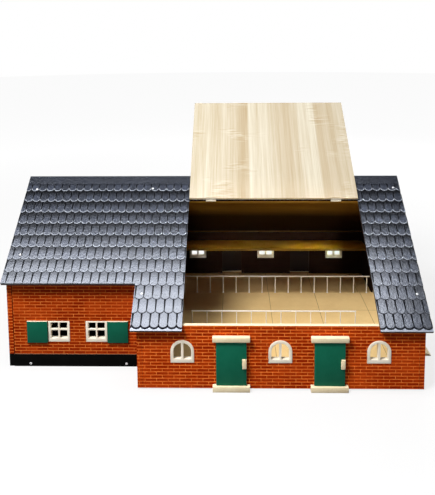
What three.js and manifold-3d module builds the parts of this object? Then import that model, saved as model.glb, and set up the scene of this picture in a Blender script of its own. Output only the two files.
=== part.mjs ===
import * as THREE from 'three';
import { mergeVertices } from 'three/addons/utils/BufferGeometryUtils.js';
import Module from 'manifold-3d';

// Toy barn with a lower wing. Millimetres, +Z up, X along the ridge, front at -Y.
// The origin is on the ground under the middle of the barn.

// Boards and gaps
const wallBoard = 9;
const floorBoard = 9;
const alleyBoard = 9;
const roofBoard = 6.5;
const shelfBoard = 5.5;
const jointGap = 0.3;
const cutOverrun = 4;
const arcSides = 12;
const rodSides = 16;
const railSides = 8;

// Barn
const barnWidth = 500;
const barnDepth = 536;
const eaveHeight = 117;
const wallFootGap = 2;
const roofSlope = THREE.MathUtils.degToRad(36);
const eaveOverhang = 14;
const vergeOverhang = 9.5;

// Wing
const wingLength = 252;
const wingInset = 78;
const wingEaveOverhang = 18;
const wingVergeOverhang = 5;
const plinthHeight = 24;
const plinthProud = 1.5;

// Roof panel that folds back over the ridge
const panelWidth = 340;
const panelSideGap = 0.8;
const panelEndGap = 0.6;
const ridgeStripLength = 65.5;
const panelOpenAngle = THREE.MathUtils.degToRad(180);

// Roof hinges
const hingeRise = 0.5;
const hingeWidth = 20;
const hingePlaceShare = 0.37;
const knuckleRadius = 1.4;
const knuckleGap = 0.3;
const hingePinRadius = 0.65;
const hingeBoreRadius = 0.75;
const leafThickness = 0.6;
const leafOffset = 1;
const leafDrop = 5;

// Alley floor, feed rails, shelf
const alleyWidth = 196;
const alleyShift = 20;
const kerbWidth = 7;
const railHeight = 39;
const railInset = 3.5;
const railRadius = 1.4;
const railPostRadius = 1.1;
const railPostSpacing = 30;
const frontRailPosts = 12;
const backRailPosts = 16;
const frontRailEnd = 1.6;
const backRailEnd = 7;
const shelfHeight = 95;
const shelfDepth = 62;

// Gable doorways and the ramp
const gatewayWidth = 240;
const gatewayTop = 130;
const rampLength = 47;
const rampWidth = 292;
const rampToe = 2;

// Doors in the long walls
const doorPlaceShares = [-0.1706, 0.1706];
const doorWidth = 53;
const doorThickness = 5;
const doorWallGap = 0.9;
const doorEndGap = 0.4;
const doorwayWidth = 48;
const doorwayTop = 88;
const doorPinRadius = 1;
const doorBoreRadius = 1.1;
const doorPinSeat = 4;
const doorSwingAjar = THREE.MathUtils.degToRad(8);
const lintelWidth = 65;
const lintelBottom = 90.5;
const lintelHeight = 9;
const lintelProud = 9.5;
const stepWidth = 65;
const stepHeight = 10;
const stepProud = 10.5;
const handleWidth = 7.5;
const handleHeight = 17;
const handleThickness = 4;
const handleMiddle = 51;

// Arched windows in the long walls
const windowPlaceShares = [-0.3415, 0, 0.3415];
const windowWidth = 41;
const windowHeight = 41;
const windowSill = 49.5;
const windowBorder = 5;
const windowFoot = 6.5;
const windowMullion = 4;
const windowProud = 1;

// Square windows and shutters on the wing
const wingWindowOffset = 35.2;
const wingWindowWidth = 40;
const wingWindowHeight = 40;
const wingWindowSill = 48.3;
const wingWindowBorder = 4.6;
const wingWindowHead = 2.5;
const wingWindowFoot = 7;
const wingWindowBar = 3;
const wingWindowBarDepth = 4.5;
const wingLowerPane = 15.5;
const shutterGap = 0.8;
const shutterWidth = 38.4;
const shutterHeight = 41.5;
const shutterThickness = 4;

// Derived sizes
const halfWidth = barnWidth / 2;
const halfDepth = barnDepth / 2;
const slopeTan = Math.tan(roofSlope);
const slopeCos = Math.cos(roofSlope);
const ridgeHeight = eaveHeight + jointGap + halfDepth * slopeTan + roofBoard / slopeCos;
const barnSlopeLength = (halfDepth + eaveOverhang) / slopeCos;
const wingHalfDepth = halfDepth - wingInset;
const wingSlopeLength = (wingHalfDepth + wingEaveOverhang) / slopeCos;
const wingEnd = -halfWidth - wingLength;
const wingRoofEnd = wingEnd - wingVergeOverhang;
const wingWallTop = eaveHeight + wingInset * slopeTan;
const alleyTop = floorBoard + alleyBoard;
const panelLength = barnSlopeLength - ridgeStripLength - 2 * panelEndGap;
const hingeDown = ridgeStripLength + panelEndGap;
const hingeX = panelWidth * hingePlaceShare;
const windowDepth = wallBoard + windowProud;

// Colours
function paint(colour, roughness, metalness = 0) {
  return new THREE.MeshStandardMaterial({ color: colour, roughness, metalness });
}
const brick = paint(0xa8441f, 0.7);
const slate = paint(0x59616c, 0.45);
const oak = paint(0xd9bd8b, 0.55);
const floorGrey = paint(0xcdb88c, 0.7);
const plinthBlack = paint(0x0c0d0e, 0.5);
const green = paint(0x1c5a43, 0.5);
const cream = paint(0xf0e3c4, 0.55);
const steel = paint(0xb9bcc0, 0.35, 0.9);

// Solids
const wasm = await Module();
wasm.setup();

function toSolid(geometry) {
  const plain = geometry.clone();
  plain.deleteAttribute('normal');
  plain.deleteAttribute('uv');
  const merged = mergeVertices(plain);
  return new wasm.Manifold(new wasm.Mesh({
    numProp: 3,
    vertProperties: new Float32Array(merged.attributes.position.array),
    triVerts: new Uint32Array(merged.index.array),
  }));
}

function toGeometry(solid) {
  const mesh = solid.getMesh();
  const geometry = new THREE.BufferGeometry();
  geometry.setAttribute('position', new THREE.BufferAttribute(new Float32Array(mesh.vertProperties), 3));
  geometry.setIndex(new THREE.BufferAttribute(new Uint32Array(mesh.triVerts), 1));
  geometry.computeVertexNormals();
  return geometry;
}

function join(...geometries) {
  const solids = geometries.map(toSolid);
  return toGeometry(solids.slice(1).reduce((sum, solid) => sum.add(solid), solids[0]));
}

function cut(geometry, ...tools) {
  return toGeometry(tools.map(toSolid).reduce((rest, tool) => rest.subtract(tool), toSolid(geometry)));
}

// Box from its low and high places along each axis
function block([x0, x1], [y0, y1], [z0, z1]) {
  const box = new THREE.BoxGeometry(x1 - x0, y1 - y0, z1 - z0);
  return box.translate((x0 + x1) / 2, (y0 + y1) / 2, (z0 + z1) / 2);
}

function outline(points) {
  return new THREE.Shape(points.map(([x, y]) => new THREE.Vector2(x, y)));
}

function rectangle([x0, x1], [y0, y1]) {
  return outline([[x0, y0], [x1, y0], [x1, y1], [x0, y1]]);
}

// Plate with its outline in the X Z plane and its thickness from y = 0 to y = thickness
function uprightPlate(shape, thickness) {
  const options = { depth: thickness, bevelEnabled: false, curveSegments: arcSides };
  return new THREE.ExtrudeGeometry(shape, options).rotateX(Math.PI / 2).translate(0, thickness, 0);
}

// Plate with its outline in the Y Z plane and its thickness from x = 0 to x = thickness
function crossPlate(shape, thickness) {
  return uprightPlate(shape, thickness).rotateZ(Math.PI / 2).translate(thickness, 0, 0);
}

// Straight rods along Z and along X, centred on the origin
function uprightRod(radius, length, sides = rodSides) {
  return new THREE.CylinderGeometry(radius, radius, length, sides).rotateX(Math.PI / 2);
}

function crossRod(radius, length, sides = rodSides) {
  return new THREE.CylinderGeometry(radius, radius, length, sides).rotateZ(Math.PI / 2);
}

const barn = new THREE.Group();

function add(parent, name, geometry, material, x = 0, y = 0, z = 0) {
  const mesh = new THREE.Mesh(geometry, material);
  mesh.name = name;
  mesh.position.set(x, y, z);
  parent.add(mesh);
  return mesh;
}

function addGroup(parent, x, y, z) {
  const group = new THREE.Group();
  group.position.set(x, y, z);
  parent.add(group);
  return group;
}

// Floors
const inside = halfWidth - wallBoard - jointGap;
const insideDepth = halfDepth - wallBoard - jointGap;
add(barn, 'barn_floor', block([-inside, inside], [-insideDepth, insideDepth], [0, floorBoard]), floorGrey);
const alleyFront = alleyShift - alleyWidth / 2;
const alleyBack = alleyShift + alleyWidth / 2;
const kerbReach = kerbWidth + jointGap;
const alleyRise = [floorBoard + jointGap, alleyTop];
add(barn, 'alley_floor', block([-inside, inside], [alleyFront + kerbReach, alleyBack - kerbReach], alleyRise),
  floorGrey);
add(barn, 'alley_kerb_front', block([-inside, inside], [alleyFront, alleyFront + kerbWidth], alleyRise),
  floorGrey);
add(barn, 'alley_kerb_back', block([-inside, inside], [alleyBack - kerbWidth, alleyBack], alleyRise),
  floorGrey);
const wingInside = wingHalfDepth - wallBoard - jointGap;
add(barn, 'wing_floor', block([wingEnd + wallBoard + jointGap, -halfWidth - jointGap],
  [-wingInside, wingInside], [0, floorBoard]), floorGrey);

// Arched outline for the long wall's windows, centred on x = 0 with its foot at z = 0
function archOutline(width, height) {
  const radius = width / 2;
  const spring = height - radius;
  const shape = new THREE.Shape();
  shape.moveTo(-radius, 0);
  shape.lineTo(radius, 0);
  shape.lineTo(radius, spring);
  shape.absarc(0, spring, radius, 0, Math.PI, false);
  shape.closePath();
  return shape;
}

// Front and back walls of the barn, between the gables
const cutReach = [-cutOverrun, wallBoard + cutOverrun];
function longWall() {
  const wall = block([-inside, inside], [0, wallBoard], [wallFootGap, eaveHeight]);
  const hole = archOutline(windowWidth + 2 * jointGap, windowHeight + 2 * jointGap);
  const windows = windowPlaceShares.map((share) => uprightPlate(hole, wallBoard + 2 * cutOverrun)
    .translate(share * barnWidth, -cutOverrun, windowSill - jointGap));
  const doorways = doorPlaceShares.map((share) => block([share * barnWidth - doorwayWidth / 2,
    share * barnWidth + doorwayWidth / 2], cutReach, [floorBoard, doorwayTop]));
  return cut(wall, ...windows, ...doorways);
}

// Arched window frame with two panes, its face just proud of the wall
function archedWindow() {
  const frame = uprightPlate(archOutline(windowWidth, windowHeight), windowDepth);
  const paneArch = archOutline(windowWidth - 2 * windowBorder, windowHeight - windowBorder - windowFoot);
  const pane = uprightPlate(paneArch, windowDepth + 2 * cutOverrun).translate(0, -cutOverrun, windowFoot);
  const mullion = block([-windowMullion / 2, windowMullion / 2], [0, windowDepth],
    [windowFoot / 2, windowHeight - windowBorder / 2]);
  return join(cut(frame, pane), mullion);
}

// Lintel and step, each with a blind hole for the door's pin
function lintel(pinX, pinY) {
  const bar = block([-lintelWidth / 2, lintelWidth / 2], [-lintelProud, -jointGap],
    [lintelBottom, lintelBottom + lintelHeight]);
  const hole = uprightRod(doorPinRadius + jointGap, 2 * (doorPinSeat + jointGap));
  return cut(bar, hole.translate(pinX, pinY, lintelBottom));
}

function step(pinX, pinY) {
  const bar = block([-stepWidth / 2, stepWidth / 2], [-stepProud, -jointGap], [0, stepHeight]);
  const hole = uprightRod(doorPinRadius + jointGap, 2 * (doorPinSeat + jointGap));
  return cut(bar, hole.translate(pinX, pinY, stepHeight));
}

// Door with its pin's axis on x = 0 and a rounded hinge edge, reaching towards +x
const doorBottom = stepHeight + doorEndGap;
const doorHeight = lintelBottom - doorEndGap - doorBottom;
function doorLeaf(reach) {
  const radius = doorThickness / 2;
  const shape = new THREE.Shape();
  shape.moveTo(0, -radius);
  shape.lineTo(reach, -radius);
  shape.lineTo(reach, radius);
  shape.lineTo(0, radius);
  shape.absarc(0, 0, radius, Math.PI / 2, 3 * Math.PI / 2, false);
  shape.closePath();
  shape.holes.push(new THREE.Path().absarc(0, 0, doorBoreRadius, 0, 2 * Math.PI, true));
  const options = { depth: doorHeight, bevelEnabled: false, curveSegments: rodSides };
  return new THREE.ExtrudeGeometry(shape, options);
}

// One long wall with its windows, doors, lintels and steps, facing local -Y
function buildLongSide(parent, side, hingeSign, ajar) {
  add(parent, `barn_${side}_wall`, longWall(), brick);
  const places = ['left', 'middle', 'right'];
  windowPlaceShares.forEach((share, index) => {
    const place = places[hingeSign < 0 ? index : places.length - 1 - index];
    add(parent, `${side}_window_${place}`, archedWindow(), cream, share * barnWidth, -windowProud, windowSill);
  });
  const hands = ['left', 'right'];
  doorPlaceShares.forEach((share, index) => {
    const hand = hands[hingeSign < 0 ? index : hands.length - 1 - index];
    const middle = share * barnWidth;
    const radius = doorThickness / 2;
    const pinX = hingeSign * (doorWidth / 2 - radius);
    const pinY = -doorWallGap - radius;
    add(parent, `${side}_lintel_${hand}`, lintel(pinX, pinY), cream, middle);
    add(parent, `${side}_step_${hand}`, step(pinX, pinY), cream, middle);
    const pinLength = doorHeight + 2 * doorEndGap + 2 * doorPinSeat;
    add(parent, `${side}_door_pin_${hand}`, uprightRod(doorPinRadius, pinLength), steel,
      middle + pinX, pinY, doorBottom + doorHeight / 2);
    const swing = addGroup(parent, middle + pinX, pinY, 0);
    const reach = doorWidth - radius;
    const turn = hingeSign < 0 ? 0 : Math.PI;
    swing.rotation.z = turn + (hand === 'left' ? ajar : 0);
    add(swing, `${side}_door_${hand}`, doorLeaf(reach), green, 0, 0, doorBottom);
    const outward = -Math.cos(turn);
    const handleY = outward * (radius + jointGap);
    add(swing, `${side}_door_handle_${hand}`, block([reach - handleWidth, reach],
      [Math.min(handleY, handleY + outward * handleThickness), Math.max(handleY, handleY + outward * handleThickness)],
      [handleMiddle - handleHeight / 2, handleMiddle + handleHeight / 2]), cream);
  });
}

const frontSide = addGroup(barn, 0, -halfDepth, 0);
buildLongSide(frontSide, 'front', -1, 0);
const backSide = addGroup(barn, 0, halfDepth, 0);
backSide.rotation.z = Math.PI;
buildLongSide(backSide, 'back', 1, doorSwingAjar);

// Gables of the barn, each with a gateway level with the alley floor
function gableOutline(depth, foot, shoulder) {
  return outline([[-depth, foot], [depth, foot], [depth, shoulder],
    [0, shoulder + depth * slopeTan], [-depth, shoulder]]);
}

function barnGable() {
  const shape = gableOutline(halfDepth, wallFootGap, eaveHeight);
  shape.holes.push(rectangle([-gatewayWidth / 2, gatewayWidth / 2], [alleyTop, gatewayTop]));
  return crossPlate(shape, wallBoard);
}

add(barn, 'barn_left_gable', barnGable(), brick, -halfWidth);
add(barn, 'barn_right_gable', barnGable(), brick, halfWidth - wallBoard);

const rampTop = alleyTop;
const rampOutline = outline([[0, 0], [rampLength, 0], [rampLength, rampToe], [0, rampTop]]);
add(barn, 'ramp', uprightPlate(rampOutline, rampWidth), cream, halfWidth + jointGap, -rampWidth / 2);

// Wing walls, the long ones standing on black plinths
const wingInner = wingEnd + wallBoard + jointGap;
const wingMiddle = (wingEnd + wallBoard - halfWidth) / 2;
const wingGableOutline = gableOutline(wingHalfDepth, 0, wingWallTop);
add(barn, 'wing_left_gable', crossPlate(wingGableOutline, wallBoard), brick, wingEnd);

function wingWall(windowPlaces) {
  const reach = -halfWidth - jointGap - wingMiddle;
  const wall = block([wingInner - wingMiddle, reach], [0, wallBoard], [plinthHeight + jointGap, wingWallTop]);
  const half = wingWindowWidth / 2 + jointGap;
  const holes = windowPlaces.map((place) => block([place - half, place + half], cutReach,
    [wingWindowSill - jointGap, wingWindowSill + wingWindowHeight + jointGap]));
  return cut(wall, ...holes);
}

// Square window with four panes behind a thin cross of bars
function squareWindow() {
  const half = wingWindowWidth / 2;
  const paneHalf = half - wingWindowBorder;
  const paneTop = wingWindowHeight - wingWindowHead;
  const frame = block([-half, half], [0, windowDepth], [0, wingWindowHeight]);
  const pane = block([-paneHalf, paneHalf], [-cutOverrun, windowDepth + cutOverrun], [wingWindowFoot, paneTop]);
  const mullion = block([-wingWindowBar / 2, wingWindowBar / 2], [0, wingWindowBarDepth],
    [wingWindowFoot / 2, wingWindowHeight - wingWindowHead / 2]);
  const barFoot = wingWindowFoot + wingLowerPane;
  const transom = block([-half + wingWindowBorder / 2, half - wingWindowBorder / 2], [0, wingWindowBarDepth],
    [barFoot, barFoot + wingWindowBar]);
  return join(cut(frame, pane), mullion, transom);
}

function plinth() {
  return block([wingInner - wingMiddle, -halfWidth - jointGap - wingMiddle], [-plinthProud, wallBoard],
    [0, plinthHeight]);
}

const wingFront = addGroup(barn, wingMiddle, -wingHalfDepth, 0);
add(wingFront, 'wing_front_wall', wingWall([-wingWindowOffset, wingWindowOffset]), brick);
add(wingFront, 'wing_plinth_front', plinth(), plinthBlack);
const wingBack = addGroup(barn, wingMiddle, wingHalfDepth, 0);
add(wingBack, 'wing_back_wall', wingWall([]).translate(0, -wallBoard, 0), brick);
add(wingBack, 'wing_plinth_back', plinth().translate(0, plinthProud - wallBoard, 0), plinthBlack);
for (const [hand, sign] of [['left', -1], ['right', 1]]) {
  const middle = sign * wingWindowOffset;
  add(wingFront, `wing_window_${hand}`, squareWindow(), cream, middle, -windowProud, wingWindowSill);
  const shutterMiddle = middle + sign * (wingWindowWidth / 2 + shutterGap + shutterWidth / 2);
  const shutterFoot = wingWindowSill + (wingWindowHeight - shutterHeight) / 2;
  add(wingFront, `shutter_${hand}`, block([-shutterWidth / 2, shutterWidth / 2],
    [-shutterThickness - jointGap, -jointGap], [0, shutterHeight]), green, shutterMiddle, 0, shutterFoot);
}

// Roof board in a slope's own frame: ridge at y = 0, outer face at z = 0, eave towards -y
function roofPiece([x0, x1], length) {
  const ridgeGap = jointGap / slopeCos / 2;
  const profile = outline([[-ridgeGap, 0], [-length, 0], [-length, -roofBoard],
    [-ridgeGap - roofBoard * slopeTan, -roofBoard]]);
  return crossPlate(profile, x1 - x0).translate(x0, 0, 0);
}

const frontSlope = addGroup(barn, 0, 0, ridgeHeight);
frontSlope.rotation.x = roofSlope;
const backTurn = addGroup(barn, 0, 0, ridgeHeight);
backTurn.rotation.z = Math.PI;
const backSlope = addGroup(backTurn, 0, 0, 0);
backSlope.rotation.x = roofSlope;

const barnVerge = halfWidth + vergeOverhang;
const panelEdge = panelWidth / 2;
add(frontSlope, 'roof_front_left', join(roofPiece([wingRoofEnd, -panelEdge], wingSlopeLength),
  roofPiece([-barnVerge, -panelEdge], barnSlopeLength)), slate);
add(frontSlope, 'roof_front_right', roofPiece([panelEdge, barnVerge], barnSlopeLength), slate);
add(backSlope, 'roof_back', join(roofPiece([-barnVerge, -wingRoofEnd], wingSlopeLength),
  roofPiece([-barnVerge, barnVerge], barnSlopeLength)), slate);

// Recesses that clear the hinges, in the hinge line's frame
const leafSeat = leafOffset + leafThickness + jointGap;
function hingeRecess(centre) {
  const half = hingeWidth / 2 + jointGap;
  return block([centre - half, centre + half], [-leafSeat, leafSeat], [-roofBoard - cutOverrun, cutOverrun]);
}

const strip = roofPiece([-panelEdge + jointGap, panelEdge - jointGap], ridgeStripLength);
add(frontSlope, 'roof_ridge_strip', cut(strip, hingeRecess(-hingeX).translate(0, -hingeDown, 0),
  hingeRecess(hingeX).translate(0, -hingeDown, 0)), slate);

const hingeLine = addGroup(frontSlope, 0, -hingeDown, hingeRise);
const openPanel = addGroup(hingeLine, 0, 0, 0);
openPanel.rotation.x = panelOpenAngle;
const panelBoard = block([-panelEdge + panelSideGap, panelEdge - panelSideGap],
  [-panelEndGap - panelLength, -panelEndGap], [-hingeRise - roofBoard, -hingeRise]);
add(openPanel, 'roof_panel', cut(panelBoard, hingeRecess(-hingeX), hingeRecess(hingeX)), slate);

// Hinge leaf with its knuckles on the axis; side +1 is fixed to the strip, side -1 to the panel
const knuckleLength = (hingeWidth - 2 * knuckleGap) / 3;
const knucklePitch = knuckleLength + knuckleGap;
function hingeLeaf(side, knuckles) {
  const edges = [side * leafOffset, side * (leafOffset + leafThickness)].sort((a, b) => a - b);
  const clear = knuckleRadius + knuckleGap;
  const pieces = [block([-hingeWidth / 2, hingeWidth / 2], edges, [-leafDrop, -clear])];
  for (const index of knuckles) {
    const middle = index * knucklePitch;
    const reach = [middle - knuckleLength / 2, middle + knuckleLength / 2];
    pieces.push(block(reach, edges, [-clear - leafThickness, 0]));
    pieces.push(crossRod(knuckleRadius, knuckleLength).translate(middle, 0, 0));
  }
  return cut(join(...pieces), crossRod(hingeBoreRadius, hingeWidth + 2 * cutOverrun));
}

for (const [hand, sign] of [['left', -1], ['right', 1]]) {
  const centre = sign * hingeX;
  add(hingeLine, `hinge_leaf_fixed_${hand}`, hingeLeaf(1, [-1, 1]), steel, centre);
  add(hingeLine, `hinge_pin_${hand}`, crossRod(hingePinRadius, hingeWidth), steel, centre);
  add(openPanel, `hinge_leaf_moving_${hand}`, hingeLeaf(-1, [0]), steel, centre);
}

// Loft shelf along the back wall
add(barn, 'loft_shelf', block([-inside, inside], [insideDepth - shelfDepth, insideDepth],
  [shelfHeight - shelfBoard, shelfHeight]), oak);

// Feed rails on the alley's two kerbs
function feedRail(posts, endReach) {
  const span = (posts - 1) * railPostSpacing;
  const pieces = [crossRod(railRadius, span + 2 * endReach, railSides).translate(0, 0, railHeight)];
  for (let index = 0; index < posts; index += 1) {
    const x = index * railPostSpacing - span / 2;
    pieces.push(uprightRod(railPostRadius, railHeight, railSides).translate(x, 0, railHeight / 2));
  }
  return join(...pieces);
}

const railFoot = alleyTop + jointGap;
add(barn, 'feed_rail_front', feedRail(frontRailPosts, frontRailEnd), steel, 0, alleyFront + railInset, railFoot);
add(barn, 'feed_rail_back', feedRail(backRailPosts, backRailEnd), steel, 0, alleyBack - railInset, railFoot);

export default barn;
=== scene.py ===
import math
import random
import bmesh
import bpy
from mathutils import Matrix, Vector


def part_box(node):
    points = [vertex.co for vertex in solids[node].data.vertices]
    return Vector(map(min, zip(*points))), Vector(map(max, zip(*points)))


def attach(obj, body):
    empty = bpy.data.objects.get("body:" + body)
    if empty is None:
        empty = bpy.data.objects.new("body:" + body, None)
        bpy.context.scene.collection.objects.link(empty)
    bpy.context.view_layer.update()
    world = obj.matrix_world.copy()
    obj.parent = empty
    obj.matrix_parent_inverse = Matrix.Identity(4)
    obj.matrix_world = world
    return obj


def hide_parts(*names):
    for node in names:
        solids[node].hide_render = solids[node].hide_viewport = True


# Looks of the toy barn: printed brick walls, a roof of round slates, painted doors and shutters.
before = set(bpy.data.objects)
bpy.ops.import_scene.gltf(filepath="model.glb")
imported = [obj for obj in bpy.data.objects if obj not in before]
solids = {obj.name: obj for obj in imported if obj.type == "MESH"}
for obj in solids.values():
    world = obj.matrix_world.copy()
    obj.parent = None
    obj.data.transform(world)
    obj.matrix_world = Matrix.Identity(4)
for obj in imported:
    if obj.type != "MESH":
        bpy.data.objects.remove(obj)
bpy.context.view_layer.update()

MM = 0.001
MERGE_REACH = 1e-6
CUT_REACH = 1e-7
FLAT_ANGLE = math.radians(1)
SHARP_ANGLE = math.radians(35)
SLOPE = math.radians(36)
RIDGE = 320.047 * MM
HINGE_DOWN = 66.1 * MM
HINGE_RISE = 0.5 * MM

# Brick print. Each LINE is the height of the lowest dark line between courses.
COURSE = 5.97 * MM
BRICK_LENGTH = 20.3 * MM
BRICK_SHIFT = 3.1 * MM
MORTAR = 0.7 * MM
MORTAR_DROP = 3.1 * MM
BARN_LINE = 5.25 * MM
WING_LINE = 3.6 * MM
WING_GABLE_LINE = 0.9 * MM
LINE_CORE = 1.0 * MM
LINE_FRINGE = 2.3 * MM
LINE_WANDER = 1.6 * MM
WING_JOINT = -491.7 * MM
GABLE_END = 150 * MM
PAINTED_FOOT = 24 * MM

# Slab print on the floor boards
SLAB_LENGTH = 105 * MM
SLAB_DEPTH = 98 * MM
SLAB_SHIFT = 78 * MM
SLAB_JOINT = 0.5 * MM

# Slate sheet, measured down the slope from the ridge
SHEET = 2.4 * MM
SLATE_PITCH = 27.64 * MM
SLATE_SPACING = 15.5 * MM
SLATE_GAP = 0.5 * MM
SLATE_LAP = 2 * MM
SLATE_FLARE = 2 * MM
SLATE_TAIL = 6.2 * MM
SLATE_TILT = 1.1 * MM
SLATE_DIP = 0.02 * MM
SLATE_FOOT = 0.1 * MM
SLATE_EDGE = 0.4 * MM
SLATE_RIM = 1.1 * MM
SLATE_ROWS = 12
SLATE_SEED = 7
FIRST_TIP = 40 * MM
# Between these distances down the slope the painted highlights on the slate tails fade into painted dark
# outlines.
UPPER_LOOK = 170 * MM
LOWER_LOOK = 340 * MM
LEFT_SHIFT = -249.3 * MM
RIGHT_SHIFT = 187.9 * MM
RIGHT_SPACING = 1.016
RIDGE_BAND = 22 * MM
RIDGE_GAP = 0.15 * MM
BAND_EDGE = 0.6 * MM
# The ridge band takes part of the painted shade that lies under each row of slates.
BAND_RISE = 0.6
BAND_TONE = 0.3

# Roof boards and the areas of their slates, down the slope and along the ridge
BARN_EAVE = 348.57 * MM
WING_EAVE = 257.09 * MM
BARN_VERGE = 259.5 * MM
WING_VERGE = -507 * MM
PANEL_EDGE = 170 * MM
PANEL_HALF = 169.2 * MM
PANEL_TOP = 70 * MM
PANEL_ROW = 2
STRIP_END = 62 * MM
STRIP_GAP = 0.3 * MM
LIP_START = 334 * MM
BOARD_SINK = 0.25 * MM

# Heights between which painted shade darkens the underside of the roof towards the eave
SHADE_TOP = 285 * MM
SHADE_FULL = 180 * MM

# Planks on the roof panel: share of its width and depth of the darker tone there
PLANKS = ((0.0, 0.1), (0.2, 0.28), (0.355, 0.62), (0.37, 0.05), (0.53, 0.3),
          (0.6, 0.65), (0.72, 0.2), (0.795, 0.1), (0.805, 0.65), (1.0, 0.25))

# Widths of eased edges
DOOR_EASE = 0.5 * MM
HANDLE_EASE = 0.8 * MM
LINTEL_EASE = 0.6 * MM
STEP_EASE = 0.6 * MM
ARCH_EASE = 0.45 * MM
WING_WINDOW_EASE = 0.4 * MM
SHUTTER_EASE = 0.4 * MM
PLINTH_EASE = 0.3 * MM
RAMP_EASE = 0.5 * MM
SHELF_EASE = 0.4 * MM

# Screws: those of the front roof in millimetres along the ridge and down the slope
ROOF_SCREWS = ((-485.7, 35), (-246.1, 33.6), (-484.2, 195.4), (-245.4, 278), (246.1, 32.2), (245.1, 277.5))
PLINTH_SCREWS = (-461.9 * MM, -281.5 * MM)
PLINTH_SCREW_HEIGHT = 5.6 * MM
HEAD_RADIUS = 2.3 * MM
HEAD_CROWN = 1.9 * MM
HEAD_HEIGHT = 0.7 * MM
HEAD_MIDDLE = 0.25 * MM
HEAD_EDGE = 0.3 * MM
RECESS_LENGTH = 1.9 * MM
RECESS_WIDTH = 0.45 * MM
RECESS_HEIGHT = 0.1 * MM
RECESS_MIDDLE = 0.57 * MM

# Feed rails
FRONT_POSTS = 12
BACK_POSTS = 16
POST_SPACING = 30 * MM
POST_RADIUS = 1.1 * MM
FOOT_RADIUS = 2.1 * MM
FOOT_TOP = 1.3 * MM
FOOT_HEIGHT = 1.6 * MM

# Ridge frame of each slope: x along the ridge, y up the slope, z out of the roof
FRONT = Matrix.Translation((0, 0, RIDGE)) @ Matrix.Rotation(SLOPE, 4, "X")
BACK = Matrix.Rotation(math.pi, 4, "Z") @ FRONT
HINGE = Matrix.Translation((0, -HINGE_DOWN, HINGE_RISE))
PANEL = FRONT @ HINGE @ Matrix.Rotation(math.pi, 4, "X") @ HINGE.inverted()

# Camera: its turn is pitch, yaw and roll in radians, its sensor and lens are in millimetres
CAMERA_PLACE = (-0.079707, -1.371619, 0.63564)
CAMERA_TURN = (0.12204, -0.02382, -0.00739)
SENSOR = 36
LENS = 48.674
LENS_SHIFT = -0.28586
NEAREST = 0.05

# Studio
PLAIN_LIGHT = 0.06
FLOOR_GREY = (0.16, 0.16, 0.16, 1)
FLOOR_REACH = 8
FLOOR_DROP = 0.3 * MM
FLOOR_NEAR = 0.5
FLOOR_FAR = 2.2
NEAR_GLOW = 0.76
FAR_GLOW = 0.95
BACKDROP_RADIUS = 7.5
BACKDROP_HEIGHT = 5
BACKDROP_FOOT = 0.01
WHITE = (1, 1, 1, 1)
BLACK = (0, 0, 0, 1)


# Finishes

def tint(red, green, blue):
    """Paint colour as it is written on a colour card, 0 to 255."""
    parts = [c / 255 for c in (red, green, blue)]
    return tuple(c / 12.92 if c <= 0.04045 else ((c + 0.055) / 1.055) ** 2.4 for c in parts) + (1.0,)


class Finish:
    """One finish under construction, with short ways to add and join its nodes."""

    def __init__(self, name, roughness, metallic=0.0, specular=0.5):
        self.material = bpy.data.materials.new(name)
        self.material.use_nodes = True
        self.tree = self.material.node_tree
        self.shader = self.tree.nodes["Principled BSDF"]
        self.shader.inputs["Roughness"].default_value = roughness
        self.shader.inputs["Metallic"].default_value = metallic
        self.shader.inputs["Specular IOR Level"].default_value = specular
        place = self.put("TexCoord")
        self.place = place.outputs["Object"]
        self.facing = place.outputs["Normal"]
        self.x, self.y, self.z = self.split(self.place)
        self.nx, self.ny, self.nz = self.split(self.facing)

    def put(self, kind, sockets=None, **settings):
        node = self.tree.nodes.new("ShaderNode" + kind)
        for key, value in settings.items():
            setattr(node, key, value)
        for key, value in (sockets or {}).items():
            self.plug(node.inputs[key], value)
        return node

    def plug(self, socket, value):
        if isinstance(value, bpy.types.NodeSocket):
            self.tree.links.new(value, socket)
        else:
            socket.default_value = value

    def split(self, vector):
        return self.put("SeparateXYZ", {0: vector}).outputs[:3]

    def vector(self, x, y, z):
        return self.put("CombineXYZ", {0: x, 1: y, 2: z}).outputs[0]

    def sum(self, operation, *terms):
        return self.put("Math", dict(enumerate(terms)), operation=operation).outputs[0]

    def over(self, value, limit):
        return self.sum("GREATER_THAN", value, limit)

    def under(self, value, limit):
        return self.sum("LESS_THAN", value, limit)

    def size(self, value):
        return self.sum("ABSOLUTE", value)

    def both(self, one, other):
        return self.sum("MULTIPLY", one, other)

    def more(self, one, other):
        return self.sum("MAXIMUM", one, other)

    def mix(self, share, one, other):
        return self.put("Mix", {0: share, 6: one, 7: other}, data_type="RGBA").outputs[2]

    def stretched(self, scale, turn=(0, 0, 0)):
        turned = self.put("Mapping", {"Vector": self.place, "Rotation": turn}).outputs[0]
        return self.put("Mapping", {"Vector": turned, "Scale": scale}).outputs[0]

    def noise(self, vector, scale=1.0, detail=3.0, rough=0.55):
        sockets = {"Vector": vector, "Scale": scale, "Detail": detail, "Roughness": rough}
        return self.put("TexNoise", sockets).outputs[0]

    def ramp(self, value, low, high, out_low=0.0, out_high=1.0):
        sockets = {0: value, 1: low, 2: high, 3: out_low, 4: out_high}
        return self.put("MapRange", sockets, clamp=True).outputs[0]

    def colour(self, value):
        self.plug(self.shader.inputs["Base Color"], value)

    def roughen(self, value):
        self.plug(self.shader.inputs["Roughness"], value)

    def bump(self, height, depth):
        node = self.put("Bump", {"Strength": 1.0, "Distance": depth, "Height": height})
        self.plug(self.shader.inputs["Normal"], node.outputs[0])


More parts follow.
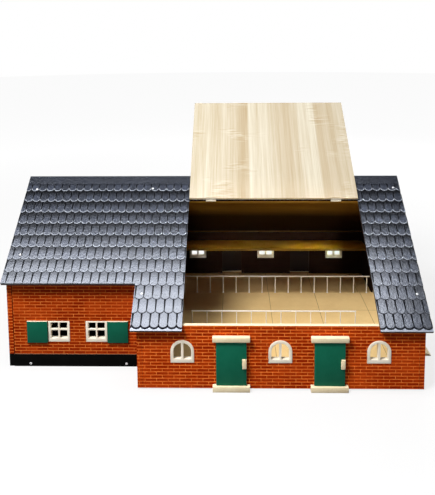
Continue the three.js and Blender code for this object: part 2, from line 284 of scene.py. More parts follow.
def grained(finish, light, dark, scale, turn=(0, 0, 0), strength=0.6):
    """Wood print: long fine streaks over broad soft bands."""
    across = finish.stretched(scale, turn)
    fine = finish.ramp(finish.noise(across, 3.2, 4, 0.6), 0.3, 0.7)
    broad = finish.ramp(finish.noise(across, 0.45, 2, 0.5), 0.3, 0.7)
    bands = finish.both(broad, 0.55 * strength)
    share = finish.sum("MULTIPLY_ADD", fine, 0.45 * strength, bands)
    return finish.mix(share, light, dark), fine


def printed_brick(name, inward, line=BARN_LINE, printed_ends=False, painted_foot=None, joint=None,
                  dark_edge=False, tone=1.0):
    """Brick print on fibreboard, with dark board on the face that looks inward.

    Cut edges are bare. With dark_edge they are dark board, and only the top one is bare."""

    def ink(red, green, blue):
        return tint(red * tone, green * tone, blue * tone)

    f = Finish(name, 0.62, specular=0.03)
    sideways = f.over(f.size(f.nx), 0.5)
    run = f.put("Mix", {0: sideways, 2: f.x, 3: f.y}).outputs[0]
    height = f.sum("SUBTRACT", f.z, line - MORTAR_DROP)
    bricks = f.put("TexBrick", {
        "Vector": f.vector(f.sum("ADD", run, BRICK_SHIFT), height, 0.0),
        "Color1": ink(178, 48, 5), "Color2": ink(222, 76, 10), "Mortar": ink(250, 142, 62),
        "Scale": 1.0, "Mortar Size": MORTAR, "Mortar Smooth": 0.25, "Bias": -0.1,
        "Brick Width": BRICK_LENGTH, "Row Height": COURSE}, offset=0.5, offset_frequency=2)
    mortar = bricks.outputs["Fac"]

    blotch = f.noise(f.place, 210, 3, 0.6)
    clouds = f.noise(f.place, 24, 2, 0.5)
    off_line = f.sum("PINGPONG", f.sum("SUBTRACT", f.z, line), COURSE / 2)
    uneven = f.sum("MULTIPLY_ADD", blotch, LINE_WANDER, off_line)
    dark = f.both(f.ramp(uneven, LINE_CORE, LINE_FRINGE, 0.84, 0), f.ramp(mortar, 0, 0.6, 1, 0.25))
    patchy = f.ramp(f.noise(f.place, 95, 2, 0.5), 0.44, 0.56)
    worn = f.mix(f.both(mortar, f.both(patchy, 0.35)), bricks.outputs["Color"], ink(178, 56, 8))
    lined = f.mix(dark, worn, ink(108, 24, 3))
    soft = f.mix(f.ramp(blotch, 0.4, 0.66, 0, 0.35), lined, ink(150, 46, 8))
    printed = f.mix(f.ramp(clouds, 0.42, 0.66, 0, 0.3), soft, ink(230, 92, 28))

    across = f.put("VectorMath", {0: f.facing, 1: inward}, operation="DOT_PRODUCT").outputs["Value"]
    board = grained(f, tint(36, 22, 15), tint(24, 14, 9), (40, 40, 320))[0]
    edge = f.under(f.size(across), 0.5)
    if printed_ends:
        end = f.both(f.over(f.size(f.ny), 0.5), f.over(f.size(f.y), GABLE_END))
        edge = f.both(edge, f.sum("SUBTRACT", 1.0, end))
    fibre = f.ramp(f.noise(f.place, 900, 2, 0.7), 0.3, 0.7)
    if dark_edge:
        rim = f.mix(f.over(f.nz, 0.5), board, tint(190, 150, 96))
    else:
        rim = f.mix(fibre, tint(247, 232, 202), tint(232, 211, 172))
    shown = f.mix(edge, f.mix(f.over(across, 0.5), printed, board), rim)
    if painted_foot:
        shown = f.mix(f.under(f.z, painted_foot), shown, tint(9, 9, 9))
    if joint:
        shown = f.mix(f.under(f.x, joint), shown, tint(60, 20, 8))
    f.colour(shown)
    f.roughen(f.ramp(blotch, 0.3, 0.7, 0.55, 0.68))
    f.bump(f.sum("MULTIPLY_ADD", mortar, -0.6, fibre), 0.06 * MM)
    return f.material


def slate_finish(name, dark, light, shade=0.8, gloss=0.9):
    """Embossed slate sheet: speckled blue grey, with painted shade in its grooves and under each row, and
    painted highlights on the slate tails.
    """
    f = Finish(name, 0.4, specular=gloss)
    f.shader.inputs["IOR"].default_value = 1.8
    f.shader.inputs["Specular Tint"].default_value = (0.84, 0.89, 1.0, 1)
    tone, rise, rim, down = [f.put("Attribute", attribute_name=key).outputs["Fac"]
                             for key in ("tone", "rise", "rim", "down")]
    speckle = f.ramp(f.noise(f.place, 520, 3, 0.75), 0.36, 0.64)
    cloud = f.ramp(f.noise(f.place, 60, 2, 0.5), 0.35, 0.65)
    share = f.sum("MULTIPLY_ADD", speckle, 0.4, f.sum("MULTIPLY_ADD", cloud, 0.25, f.both(tone, 0.35)))
    body = f.mix(share, dark, light)
    # Painted shade under the tails of the row above and in the grooves, painted highlights on the tails;
    # down the slope the highlights give way to painted dark outlines and the shade under each row weakens.
    low = f.ramp(down, UPPER_LOOK, LOWER_LOOK)
    under = f.both(f.ramp(rise, 0.45, 0.88, 0, min(1, 1.2 * shade)), f.ramp(low, 0, 1, 1, 0.2))
    shaded = f.mix(under, body, tint(10, 11, 15))
    tail = f.ramp(rise, 0.2, 0.32, 1, 0)
    edge = f.ramp(rim, 0.4, 1.0)
    grooves = f.both(edge, f.more(f.ramp(tail, 0, 1, 0.9, 0), f.both(low, shade)))
    grooved = f.mix(grooves, shaded, tint(6, 7, 10))
    glint = f.mix(speckle, tint(116, 122, 138), tint(220, 226, 236))
    caught = f.both(f.both(f.ramp(rim, 0, 0.85), tail), f.ramp(low, 0, 1, shade, 0))
    f.colour(f.mix(caught, grooved, glint))
    f.roughen(f.more(f.ramp(speckle, 0, 1, 0.17, 0.26), f.ramp(grooves, 0, 1, 0, 0.8)))
    # Metal in the grooves and under the rows darkens them further, as part of the painted shade.
    f.plug(f.shader.inputs["Metallic"], f.more(f.both(grooves, 0.7), f.both(under, 0.6)))
    f.bump(f.noise(f.place, 230, 3, 0.6), 0.28 * MM)
    return f.material


def panel_oak(name):
    """Light oak print on the inner side of the roof panel, its planks running down the slope."""
    f = Finish(name, 0.42, specular=0.3)
    turn = (-SLOPE, 0, 0)
    body, fine = grained(f, tint(215, 212, 198), tint(172, 157, 129), (160, 3, 160), turn, 1.0)
    planks = f.put("ValToRGB", {0: f.ramp(f.x, -PANEL_EDGE, PANEL_EDGE)})
    stops = planks.color_ramp.elements
    for index, (share, depth) in enumerate(PLANKS):
        stop = stops[index] if index < 2 else stops.new(share)
        stop.position = share
        stop.color = (depth, depth, depth, 1)
    banded = f.mix(f.both(planks.outputs[0], 0.9), body, tint(154, 128, 86))
    flecks = f.noise(f.stretched((40, 330, 40), turn), 1.0, 1, 0.4)
    patch = f.ramp(f.noise(f.place, 14, 1, 0.5), 0.56, 0.66)
    pale = f.both(f.ramp(flecks, 0.54, 0.6), f.both(patch, 0.3))
    dark = f.both(f.ramp(flecks, 0.44, 0.38), f.both(patch, 0.45))
    f.colour(f.mix(dark, f.mix(pale, banded, tint(216, 212, 198)), tint(160, 138, 102)))
    f.roughen(f.ramp(fine, 0, 1, 0.38, 0.5))
    f.bump(fine, 0.04 * MM)
    return f.material


def plain_oak(name, light, dark, scale=(4, 150, 150), specular=0.25, eave_shade=None, front_edge=None):
    """Wood print, darker towards the eave and on an edge at the front where those colours are given:
    painted shade.
    """
    f = Finish(name, 0.5, specular=specular)
    body, fine = grained(f, light, dark, scale, strength=1.0)
    if eave_shade:
        body = f.mix(f.ramp(f.z, SHADE_TOP, SHADE_FULL), body, eave_shade)
    if front_edge:
        body = f.mix(f.under(f.ny, -0.6), body, front_edge)
    f.colour(body)
    f.bump(fine, 0.04 * MM)
    return f.material


def slab_print(name):
    """Beige slabs with thin dark joints on the floor boards."""
    f = Finish(name, 0.55, specular=0.25)
    place = f.put("Mapping", {"Vector": f.place, "Location": (0, SLAB_SHIFT, 0)}).outputs[0]
    slabs = f.put("TexBrick", {
        "Vector": place, "Color1": tint(232, 200, 140), "Color2": tint(224, 190, 128),
        "Mortar": tint(120, 92, 58), "Scale": 1.0, "Mortar Size": SLAB_JOINT, "Mortar Smooth": 0.3,
        "Bias": 0.0, "Brick Width": SLAB_LENGTH, "Row Height": SLAB_DEPTH}, offset=0.0)
    speckle = f.ramp(f.noise(f.place, 420, 4, 0.7), 0.3, 0.7)
    cloud = f.ramp(f.noise(f.place, 26, 3, 0.6), 0.35, 0.65)
    shade = f.sum("MULTIPLY_ADD", speckle, 0.16, f.both(cloud, 0.2))
    f.colour(f.mix(shade, slabs.outputs["Color"], tint(196, 156, 104)))
    f.roughen(f.ramp(speckle, 0, 1, 0.5, 0.64))
    f.bump(f.sum("MULTIPLY_ADD", slabs.outputs["Fac"], -1.0, f.both(speckle, 0.3)), 0.15 * MM)
    return f.material


def painted(name, colour, worn, roughness, bare_top=None, specular=0.15, inner=None):
    """Brushed paint on wood. bare_top is the colour of an unpainted upper edge.

    inner is 1 or -1, the way along y in which the side of dark board looks."""
    f = Finish(name, roughness, specular=specular)
    marks = f.ramp(f.noise(f.stretched((60, 60, 14)), 9.0, 4, 0.6), 0.3, 0.7)
    mottle = f.ramp(f.noise(f.place, 48, 2, 0.5), 0.35, 0.65)
    share = f.sum("MULTIPLY_ADD", marks, 0.4, f.both(mottle, 0.45))
    shown = f.mix(share, colour, worn)
    if bare_top:
        shown = f.mix(f.over(f.nz, 0.6), shown, bare_top)
    if inner:
        shown = f.mix(f.over(f.both(f.ny, inner), 0.6), shown, tint(27, 20, 17))
    f.colour(shown)
    f.roughen(f.ramp(marks, 0, 1, roughness - 0.05, roughness + 0.06))
    f.bump(marks, 0.05 * MM)
    return f.material


def moulded(name, colour, worn):
    """Satin moulded plastic with a faint orange-peel skin."""
    f = Finish(name, 0.34, specular=0.35)
    skin = f.ramp(f.noise(f.place, 800, 2, 0.5), 0.3, 0.7)
    mottle = f.ramp(f.noise(f.place, 70, 2, 0.5), 0.3, 0.7)
    f.colour(f.mix(f.sum("MULTIPLY_ADD", skin, 0.2, f.both(mottle, 0.5)), colour, worn))
    f.bump(skin, 0.02 * MM)
    return f.material


def drawn_steel(name, colour, worn, roughness, metallic):
    """Coated wire or plated steel with fine streaks."""
    f = Finish(name, roughness, metallic)
    draw = f.ramp(f.noise(f.stretched((80, 900, 900)), 1.0, 3, 0.6), 0.3, 0.7)
    f.colour(f.mix(f.both(draw, 0.6), colour, worn))
    f.roughen(f.ramp(draw, 0, 1, roughness - 0.06, roughness + 0.1))
    f.bump(draw, 0.01 * MM)
    return f.material


brick_front = printed_brick("brick_front", (0, 1, 0), tone=1.03)
brick_back = printed_brick("brick_back", (0, -1, 0), dark_edge=True)
brick_left = printed_brick("brick_left_gable", (1, 0, 0), printed_ends=True)
brick_right = printed_brick("brick_right_gable", (-1, 0, 0), printed_ends=True)
# The wing's prints are made a little darker than the barn's: painted shade for the shade under the wing's
# eave and its wall set back.
brick_wing_front = printed_brick("brick_wing_front", (0, 1, 0), WING_LINE, joint=WING_JOINT,
                                 dark_edge=True, tone=0.92)
brick_wing_back = printed_brick("brick_wing_back", (0, -1, 0), WING_LINE, joint=WING_JOINT,
                                dark_edge=True, tone=0.93)
brick_wing_gable = printed_brick("brick_wing_gable", (1, 0, 0), WING_GABLE_LINE, printed_ends=True,
                                 painted_foot=PAINTED_FOOT, tone=0.95)
slate_face = slate_finish("slate_face", tint(11, 13, 18), tint(62, 68, 84))
# Groove sides and the bed between the slates are near black: painted shade.
slate_groove = slate_finish("slate_groove", tint(8, 9, 12), tint(26, 28, 35), 0, 0.1)
slate_bed = slate_finish("slate_bed", tint(10, 11, 14), tint(24, 26, 32), 0, 0.1)
slate_lip = slate_finish("slate_lip", tint(126, 132, 146), tint(168, 174, 188), 0)
oak_panel = panel_oak("oak_panel")
oak_edging = plain_oak("oak_edging", tint(246, 236, 212), tint(226, 206, 168), (60, 60, 60))
# The roof's underside is given painted shade, darker towards the eave.
oak_under = plain_oak("oak_under_roof", tint(222, 168, 64), tint(124, 84, 24), (2.5, 50, 50), 0.08,
                      eave_shade=tint(34, 19, 5))
# The shelf's front edge is painted darker, as shade.
oak_shelf = plain_oak("oak_shelf", tint(252, 190, 66), tint(222, 152, 44), (3, 60, 60),
                      front_edge=tint(128, 94, 30))
dark_board = plain_oak("dark_board", tint(58, 44, 36), tint(38, 28, 24))
board_edge = plain_oak("dark_board_edge", tint(58, 46, 40), tint(34, 28, 26), (60, 60, 60))
floor_slabs = slab_print("floor_slabs")
black_paint = painted("plinth_black", tint(5, 6, 5), tint(13, 13, 12), 0.7, tint(120, 84, 66), 0.03)
bare_wood = tint(240, 232, 206)
door_green = tint(11, 97, 72)
door_worn = tint(21, 105, 80)
door_front = painted("door_green_front", door_green, door_worn, 0.46, bare_wood, 0.1, inner=1)
door_back = painted("door_green_back", door_green, door_worn, 0.46, bare_wood, 0.1, inner=-1)
green_paint = painted("shutter_green", tint(8, 88, 66), tint(18, 96, 74), 0.46, bare_wood, 0.1)
cream_paint = painted("cream_paint", tint(254, 239, 203), tint(241, 218, 175), 0.5, specular=0.3)
cream_frame = moulded("cream_window", tint(255, 247, 229), tint(254, 238, 214))
rail_wire = drawn_steel("rail_wire", tint(250, 244, 234), tint(226, 218, 206), 0.4, 0.0)
hinge_steel = drawn_steel("hinge_steel", tint(236, 230, 218), tint(196, 190, 178), 0.4, 0.45)
screw_zinc = drawn_steel("screw_zinc", tint(244, 244, 246), tint(220, 222, 226), 0.3, 0.25)
recess_black = painted("screw_recess", tint(26, 26, 28), tint(40, 40, 42), 0.6)


# Pieces

def settle(bm, name, body, finishes, smooth=None):
    """Makes the bmesh a piece that rides on a body, with its finishes."""
    mesh = bpy.data.meshes.new(name)
    bm.to_mesh(mesh)
    bm.free()
    for finish in finishes:
        mesh.materials.append(finish)
    if smooth is not None:
        mesh.shade_smooth()
        mesh.set_sharp_from_angle(angle=math.radians(smooth))
    piece = bpy.data.objects.new(name, mesh)
    bpy.context.scene.collection.objects.link(piece)
    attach(piece, body)
    return piece


def merged_copy(node):
    """The CAD solid's mesh as one skin with whole flat faces."""
    bm = bmesh.new()
    bm.from_mesh(solids[node].data)
    bmesh.ops.remove_doubles(bm, verts=bm.verts, dist=MERGE_REACH)
    bmesh.ops.dissolve_limit(bm, angle_limit=FLAT_ANGLE, verts=bm.verts, edges=bm.edges)
    for face in bm.faces:
        face.smooth = False
        face.material_index = 0
    return bm


def whole(bm):
    return bm.verts[:] + bm.edges[:] + bm.faces[:]


def edges_at(verts):
    return {edge for vert in verts for edge in vert.link_edges}


def faces_at(verts):
    return {face for vert in verts for face in vert.link_faces}


def bevel(bm, edges, width, segments):
    return bmesh.ops.bevel(bm, geom=edges, offset=width, offset_type="OFFSET", segments=segments,
                           profile=0.5, affect="EDGES", clamp_overlap=True, material=-1)


def cut(bm, geometry, place, way, clear=True):
    """Cuts on a plane, clears what lies beyond it, and gives what is left and the edges of the cut."""
    sliced = bmesh.ops.bisect_plane(bm, geom=geometry, dist=CUT_REACH, plane_co=place, plane_no=way,
                                    clear_outer=clear)
    return sliced["geom"], [g for g in sliced["geom_cut"] if isinstance(g, bmesh.types.BMEdge)]


def cut_and_close(bm, geometry, place, way):
    """Cuts off what lies beyond a plane, closes the cut and gives what is left."""
    rest, rim = cut(bm, geometry, place, way)
    filled = bmesh.ops.holes_fill(bm, edges=rim, sides=0)["faces"]
    return [g for g in rest if g.is_valid] + filled


def ease(node, body, finish, width):
    """Stands for a solid with its sharp edges eased."""
    bm = merged_copy(node)
    sharp = [edge for edge in bm.edges if edge.calc_face_angle(0) > SHARP_ANGLE]
    bevel(bm, sharp, width, 2)
    piece = settle(bm, node + "_eased", body, [finish], smooth=50)
    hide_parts(node)


def coat(finish, *names):
    """Gives solids that keep their own mesh a finish."""
    for name in names:
        for place in solids[name].material_slots:
            place.material = finish


def slate_pattern(bm, rise, rim):
    """One round-tailed slate: tip at the origin, head up the slope, face tilting down to the next row.

    rise is the share of the way up a row, and rim is 1 but for the inner part of the face."""
    bmesh.ops.create_cone(bm, cap_ends=True, segments=12, radius1=1, radius2=1, depth=2)
    half = (SLATE_SPACING - SLATE_GAP) / 2
    bmesh.ops.scale(bm, vec=(half, SLATE_TAIL, 1), verts=bm.verts)
    head = [v for v in bm.verts if v.co.y > 0.01 * MM]
    bmesh.ops.translate(bm, vec=(0, SLATE_TAIL, 0), verts=bm.verts)
    bmesh.ops.translate(bm, vec=(0, SLATE_PITCH + SLATE_LAP - SLATE_TAIL, 0), verts=head)
    for v in bm.verts:
        if v.co.z > 0:
            v.co.z = -SLATE_DIP - SLATE_TILT * v.co.y / SLATE_PITCH
        else:
            v.co.z = -SHEET - SLATE_FOOT
            if v.co.y < 0.9 * SLATE_TAIL:
                v.co.xy += SLATE_FLARE * Vector((v.co.x, v.co.y - SLATE_TAIL)).normalized()
    bevel(bm, [e for e in bm.edges if all(v.co.z > -SHEET for v in e.verts)], SLATE_EDGE, 1)
    bm.normal_update()
    face = max(bm.faces, key=lambda f: f.calc_area() * f.normal.z)
    bmesh.ops.inset_individual(bm, faces=[face], thickness=SLATE_RIM, depth=0, use_even_offset=True)
    inner = set(face.verts)
    # Flanks and the flared foot take the groove finish, dark as painted shade between the slates.
    groove = 1
    for side in bm.faces:
        middle = side.calc_center_median()
        flank = abs(side.normal.x) > 0.5 and middle.y > SLATE_TAIL
        foot = middle.z < -SHEET / 2 and side.normal.z > -0.5
        if flank or foot:
            side.material_index = groove
    for v in bm.verts:
        v[rise] = v.co.y / SLATE_PITCH
        v[rim] = 0 if v in inner else 1


def slate_rows(bm, pattern, tone, draw, area, first_row, shift, step):
    """Copies of the pattern over an area, every other row half a slate aside, each with a drawn tone."""
    left, right, eave = area
    laid = []
    for row in range(first_row, SLATE_ROWS):
        tip = FIRST_TIP + row * SLATE_PITCH
        if tip - SLATE_PITCH > eave + SLATE_TAIL:
            continue
        start = shift + (0 if row % 2 else step / 2)
        for column in range(math.floor((left - start) / step), math.ceil((right - start) / step) + 1):
            copy = bmesh.ops.duplicate(bm, geom=pattern)["geom"]
            spots = [g for g in copy if isinstance(g, bmesh.types.BMVert)]
            bmesh.ops.translate(bm, vec=(start + column * step, -tip, 0), verts=spots)
            value = draw.random()
            for spot in spots:
                spot[tone] = value
            laid += copy
    return laid


def ridge_band(bm, left, right, rise, tone):
    """Plain band along the ridge, its lower edge rounded."""
    bar = bmesh.ops.create_cube(bm, size=1)["verts"]
    bmesh.ops.scale(bm, vec=(right - left, RIDGE_BAND, SHEET), verts=bar)
    bmesh.ops.translate(bm, vec=((left + right) / 2, -RIDGE_BAND / 2, -SHEET / 2), verts=bar)
    for v in bar:
        v[rise] = BAND_RISE
        v[tone] = BAND_TONE
    edges = edges_at(bar)
    lower = [e for e in edges if all(v.co.y < -RIDGE_BAND / 2 and v.co.z > -SHEET / 2 for v in e.verts)]
    band = bar + list(faces_at(bar)) + list(edges)
    rounded = bevel(bm, lower, BAND_EDGE, 2)
    return [g for g in band if g.is_valid] + rounded["verts"] + rounded["edges"] + rounded["faces"]


def lay_slates(name, body, to_world, areas, band=True, first_row=0, shift=LEFT_SHIFT, spacing=1.0,
               top=None):
    """Rows of slates laid over the areas (left, right, eave), with a plain band along the ridge.

    For its finish each corner carries tone, rise, rim and down, its distance down the slope."""
    bm = bmesh.new()
    tone, rise, rim, down = [bm.verts.layers.float.new(key) for key in ("tone", "rise", "rim", "down")]
    slate_pattern(bm, rise, rim)
    pattern = whole(bm)
    bmesh.ops.scale(bm, vec=(spacing, 1, 1), verts=bm.verts)
    draw = random.Random(SLATE_SEED)
    for area in areas:
        left, right, eave = area
        laid = slate_rows(bm, pattern, tone, draw, area, first_row, shift, SLATE_SPACING * spacing)
        if band:
            laid += ridge_band(bm, left, right, rise, tone)
        cuts = [((left, 0, 0), (-1, 0, 0)), ((right, 0, 0), (1, 0, 0)), ((0, -eave, 0), (0, -1, 0))]
        if top:
            cuts.append(((0, -top, 0), (0, 1, 0)))
        for place, way in cuts:
            laid = cut_and_close(bm, list({g for g in laid if g.is_valid}), place, way)
    bmesh.ops.delete(bm, geom=[g for g in pattern if isinstance(g, bmesh.types.BMVert)], context="VERTS")
    for v in bm.verts:
        v[down] = -v.co.y
    bmesh.ops.transform(bm, matrix=to_world, verts=bm.verts)
    if band:
        back = to_world.to_3x3() @ Vector((0, 1, 0))
        way = Vector((0, 1 if back.y > 0 else -1, 0))
        cut_and_close(bm, whole(bm), -RIDGE_GAP * way, way)
    settle(bm, name, body, [slate_face, slate_groove])


def slate_board(node, body, to_world, under, edge, lip_from=None):
    """Roof board below its slates: dark bed on top as painted shade, wood print underneath, pale lip from
    lip_from on.
    """
    bm = merged_copy(node)
    out = to_world.to_3x3() @ Vector((0, 0, 1))
    up = to_world.to_3x3() @ Vector((0, 1, 0))
    level = to_world @ Vector((0, 0, -SHEET))
    bmesh.ops.edgeloop_fill(bm, edges=cut(bm, whole(bm), level, out)[1])
    if body == "building":
        deepest = min((v.co - level).dot(out) for v in bm.verts)
        lowest = [v for v in bm.verts if (v.co - level).dot(out) < deepest + 0.1 * MM]
        bmesh.ops.translate(bm, vec=-BOARD_SINK * out, verts=lowest)
    if lip_from:
        cut(bm, whole(bm), to_world @ Vector((0, -lip_from, 0)), up, clear=False)
    bmesh.ops.recalc_face_normals(bm, faces=bm.faces)
    side, bed, below, lip = range(4)
    for face in bm.faces:
        turned = face.normal.dot(out)
        face.material_index = bed if turned > 0.5 else below if turned < -0.5 else side
        down = -(face.calc_center_median() - to_world.translation).dot(up)
        if lip_from and turned > 0.5 and down > lip_from:
            face.material_index = lip
    piece = settle(bm, node + "_board", body, [edge, slate_bed, under, slate_lip])
    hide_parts(node)


def screw_heads(name, body, places, to_world):
    """Low screw heads with a cross recess, at (x, y) on a plane, looking along its z."""
    bm = bmesh.new()
    recess = 1
    for x, y in places:
        spot = Matrix.Translation((x, y, HEAD_MIDDLE))
        head = bmesh.ops.create_cone(bm, cap_ends=True, segments=20, radius1=HEAD_RADIUS,
                                     radius2=HEAD_CROWN, depth=HEAD_HEIGHT, matrix=spot)["verts"]
        top = [e for e in edges_at(head) if all(v.co.z > HEAD_MIDDLE for v in e.verts)]
        bevel(bm, top, HEAD_EDGE, 2)
        for width, height in ((RECESS_LENGTH, RECESS_WIDTH), (RECESS_WIDTH, RECESS_LENGTH)):
            slit = bmesh.ops.create_cube(bm, size=1)["verts"]
            bmesh.ops.scale(bm, vec=(width, height, RECESS_HEIGHT), verts=slit)
            bmesh.ops.translate(bm, vec=(x, y, RECESS_MIDDLE), verts=slit)
            for face in faces_at(slit):
                face.material_index = recess
    bmesh.ops.transform(bm, matrix=to_world, verts=bm.verts)
    settle(bm, name, body, [screw_zinc, recess_black], smooth=40)


def wire_rail(node, posts):
    """Feed rail of round wire: posts under one long rail with ball ends."""
    low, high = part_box(node)
    middle = (low.y + high.y) / 2
    radius = (high.y - low.y) / 2
    level = high.z - radius
    bm = bmesh.new()
    turn = Matrix.Rotation(math.pi / 2, 4, "Y")
    span = high.x - low.x - 2 * radius
    bmesh.ops.create_cone(bm, cap_ends=True, segments=12, radius1=radius, radius2=radius, depth=span,
                          matrix=Matrix.Translation((0, middle, level)) @ turn)
    for end in (-span / 2, span / 2):
        bmesh.ops.create_uvsphere(bm, u_segments=12, v_segments=8, radius=radius,
                                  matrix=Matrix.Translation((end, middle, level)))
    for index in range(posts):
        x = (index - (posts - 1) / 2) * POST_SPACING
        post = Matrix.Translation((x, middle, (level + low.z) / 2))
        foot = Matrix.Translation((x, middle, low.z + FOOT_HEIGHT / 2))
        bmesh.ops.create_cone(bm, cap_ends=True, segments=10, radius1=POST_RADIUS, radius2=POST_RADIUS,
                              depth=level - low.z, matrix=post)
        bmesh.ops.create_cone(bm, cap_ends=True, segments=12, radius1=FOOT_RADIUS, radius2=FOOT_TOP,
                              depth=FOOT_HEIGHT, matrix=foot)
    piece = settle(bm, node + "_wire", "building", [rail_wire], smooth=45)
    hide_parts(node)


# Walls and floors keep their solids
coat(brick_front, "barn_front_wall")
coat(brick_back, "barn_back_wall")
coat(brick_left, "barn_left_gable")
coat(brick_right, "barn_right_gable")
coat(brick_wing_front, "wing_front_wall")
coat(brick_wing_back, "wing_back_wall")
coat(brick_wing_gable, "wing_left_gable")
coat(floor_slabs, "barn_floor", "alley_floor", "alley_kerb_front", "alley_kerb_back")
# The wing's floor is dark board: painted shade for the dark inside of the closed wing.
coat(dark_board, "wing_floor")

# Roof
lay_slates("slates_front_left", "building", FRONT,
           [(WING_VERGE, -BARN_VERGE, WING_EAVE), (-BARN_VERGE, -PANEL_EDGE, BARN_EAVE)])
slate_board("roof_front_left", "building", FRONT, oak_under, board_edge, LIP_START)
lay_slates("slates_front_right", "building", FRONT, [(PANEL_EDGE, BARN_VERGE, BARN_EAVE)],
           shift=RIGHT_SHIFT, spacing=RIGHT_SPACING)
slate_board("roof_front_right", "building", FRONT, oak_under, board_edge, LIP_START)
lay_slates("slates_back", "building", BACK,
           [(-BARN_VERGE, BARN_VERGE, BARN_EAVE), (BARN_VERGE, -WING_VERGE, WING_EAVE)])
slate_board("roof_back", "building", BACK, oak_under, board_edge, LIP_START)
lay_slates("slates_ridge_strip", "building", FRONT,
           [(-PANEL_EDGE + STRIP_GAP, PANEL_EDGE - STRIP_GAP, STRIP_END)])
slate_board("roof_ridge_strip", "building", FRONT, oak_under, oak_under)
lay_slates("slates_panel", "roof_panel", PANEL, [(-PANEL_HALF, PANEL_HALF, BARN_EAVE)],
           band=False, first_row=PANEL_ROW, top=PANEL_TOP)
slate_board("roof_panel", "roof_panel", PANEL, oak_panel, oak_edging, LIP_START)
for side, hand, slope in (("front", 1, FRONT), ("back", -1, BACK)):
    screw_heads(f"roof_screws_{side}", "building",
                [(hand * x * MM, -down * MM) for x, down in ROOF_SCREWS], slope)

# Doors, windows and trim
for side in ("front", "back"):
    for hand in ("left", "right"):
        door = f"{side}_door_{hand}"
        ease(door, door, door_front if side == "front" else door_back, DOOR_EASE)
        ease(f"{side}_door_handle_{hand}", door, cream_paint, HANDLE_EASE)
        ease(f"{side}_lintel_{hand}", "building", cream_paint, LINTEL_EASE)
        ease(f"{side}_step_{hand}", "building", cream_paint, STEP_EASE)
        coat(hinge_steel, f"{side}_door_pin_{hand}")
    for place in ("left", "middle", "right"):
        ease(f"{side}_window_{place}", "building", cream_frame, ARCH_EASE)
for hand in ("left", "right"):
    ease(f"wing_window_{hand}", "building", cream_frame, WING_WINDOW_EASE)
    ease(f"shutter_{hand}", "building", green_paint, SHUTTER_EASE)
    coat(hinge_steel, f"hinge_leaf_fixed_{hand}", f"hinge_leaf_moving_{hand}", f"hinge_pin_{hand}")
for side in ("front", "back"):
    ease(f"wing_plinth_{side}", "building", black_paint, PLINTH_EASE)
ease("ramp", "building", cream_paint, RAMP_EASE)
ease("loft_shelf", "building", oak_shelf, SHELF_EASE)
plinth_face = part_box("wing_plinth_front")[0].y
screw_heads("plinth_screws", "building", [(x, PLINTH_SCREW_HEIGHT) for x in PLINTH_SCREWS],
            Matrix.Translation((0, plinth_face, 0)) @ Matrix.Rotation(math.pi / 2, 4, "X"))
wire_rail("feed_rail_front", FRONT_POSTS)
wire_rail("feed_rail_back", BACK_POSTS)


# Studio

def aim_camera():
    """Camera at the photograph's place; the picture's long side takes the whole sensor width."""
    pitch, yaw, roll = CAMERA_TURN
    ahead = Vector((math.sin(yaw) * math.cos(pitch), math.cos(yaw) * math.cos(pitch), -math.sin(pitch)))
    level = Vector((math.cos(yaw), -math.sin(yaw), 0))
    above = level.cross(ahead)
    right = math.cos(roll) * level + math.sin(roll) * above
    up = -math.sin(roll) * level + math.cos(roll) * above
    data = bpy.data.cameras.new("studio_camera")
    data.sensor_width = SENSOR
    data.lens = LENS
    data.shift_y = LENS_SHIFT
    data.clip_start = NEAREST
    camera = bpy.data.objects.new("studio_camera", data)
    bpy.context.scene.collection.objects.link(camera)
    turn = Matrix((right, up, -ahead)).transposed().to_4x4()
    camera.matrix_world = Matrix.Translation(CAMERA_PLACE) @ turn
    bpy.context.scene.camera = camera


def softbox(name, place, target, width, depth, watts, mirrored=False, spread=180):
    """Lamp of width by depth metres at a place, aimed at a target; spread is the angle that it fills."""
    data = bpy.data.lights.new(name, "AREA")
    data.shape = "RECTANGLE"
    data.size = width
    data.size_y = depth
    data.energy = watts
    data.spread = math.radians(spread)
    lamp = bpy.data.objects.new(name, data)
    bpy.context.scene.collection.objects.link(lamp)
    lamp.location = place
    lamp.rotation_euler = (Vector(target) - Vector(place)).to_track_quat("-Z", "Y").to_euler()
    lamp.visible_camera = False
    lamp.visible_glossy = mirrored


def stand(bm, name, finish):
    """Part of the studio, not of the barn."""
    mesh = bpy.data.meshes.new(name)
    bm.to_mesh(mesh)
    bm.free()
    mesh.materials.append(finish)
    thing = bpy.data.objects.new(name, mesh)
    bpy.context.scene.collection.objects.link(thing)


def glowing(name, roughness, base):
    """Finish that glows white, and a value that is 1 where it is looked at and 0 where it only lights."""
    f = Finish(name, roughness, specular=0.0)
    f.shader.inputs["Base Color"].default_value = base
    f.shader.inputs["Emission Color"].default_value = WHITE
    path = f.put("LightPath").outputs
    seen = f.more(path["Is Camera Ray"], f.more(path["Is Glossy Ray"], path["Is Transmission Ray"]))
    return f, seen


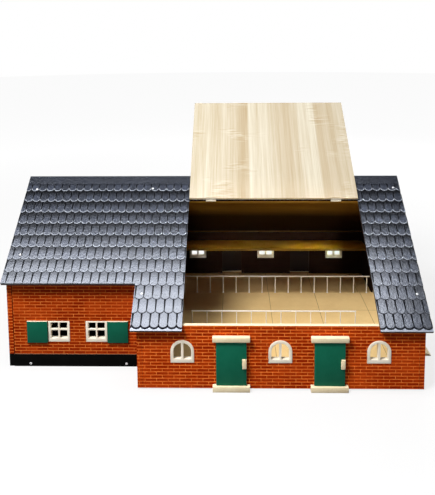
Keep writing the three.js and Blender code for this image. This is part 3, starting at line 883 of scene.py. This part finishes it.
def pale_floor():
    """Floor just under the barn, a little brighter far off."""
    f, seen = glowing("studio_floor", 0.9, FLOOR_GREY)
    away = f.put("VectorMath", {0: f.place}, operation="LENGTH").outputs["Value"]
    glow = f.ramp(away, FLOOR_NEAR, FLOOR_FAR, NEAR_GLOW, FAR_GLOW)
    f.plug(f.shader.inputs["Emission Strength"], f.both(seen, glow))
    bm = bmesh.new()
    bmesh.ops.create_grid(bm, x_segments=1, y_segments=1, size=FLOOR_REACH)
    bmesh.ops.translate(bm, vec=(0, 0, -FLOOR_DROP), verts=bm.verts)
    stand(bm, "studio_floor", f.material)


def white_backdrop():
    """Round wall about the barn that shines white where it is looked at."""
    f, seen = glowing("studio_backdrop", 1.0, BLACK)
    f.plug(f.shader.inputs["Emission Strength"], f.ramp(seen, 0, 1, PLAIN_LIGHT, 1))
    bm = bmesh.new()
    bmesh.ops.create_cone(bm, cap_ends=False, segments=64, radius1=BACKDROP_RADIUS, radius2=BACKDROP_RADIUS,
                          depth=BACKDROP_HEIGHT)
    bmesh.ops.translate(bm, vec=(0, 0, BACKDROP_HEIGHT / 2 - BACKDROP_FOOT), verts=bm.verts)
    bmesh.ops.reverse_faces(bm, faces=bm.faces)
    stand(bm, "studio_backdrop", f.material)


def light_studio():
    """Plain world light and six softboxes."""
    world = bpy.data.worlds.new("studio_world")
    bpy.context.scene.world = world
    world.use_nodes = True
    glow = world.node_tree.nodes["Background"]
    glow.inputs["Color"].default_value = WHITE
    glow.inputs["Strength"].default_value = PLAIN_LIGHT
    softbox("key_softbox", (-0.75, -0.98, 1.6), (-0.15, -0.2, 0.12), width=0.6, depth=0.45, watts=39)
    softbox("front_softbox", (-0.35, -2.3, 1.1), (-0.1, 0.1, 0.15), width=1.2, depth=0.5, watts=4)
    softbox("top_softbox", (-0.3, -0.31, 1.5), (-0.3, -0.31, 0), width=1.6, depth=0.4, watts=11.5,
            mirrored=True)
    softbox("inner_softbox", (-0.05, -2.3, 1.0), (0, 0.2, 0.125), width=0.6, depth=0.04, watts=0.16,
            spread=6)
    softbox("side_softbox", (1.7, 0.3, 0.8), (0.26, 0, 0.12), width=0.8, depth=0.6, watts=7)
    softbox("back_softbox", (0.6, 1.6, 1.2), (0, 0.2, 0.12), width=1.2, depth=0.9, watts=13)


aim_camera()
pale_floor()
white_backdrop()
light_studio()
bpy.context.scene.view_settings.view_transform = "Standard"
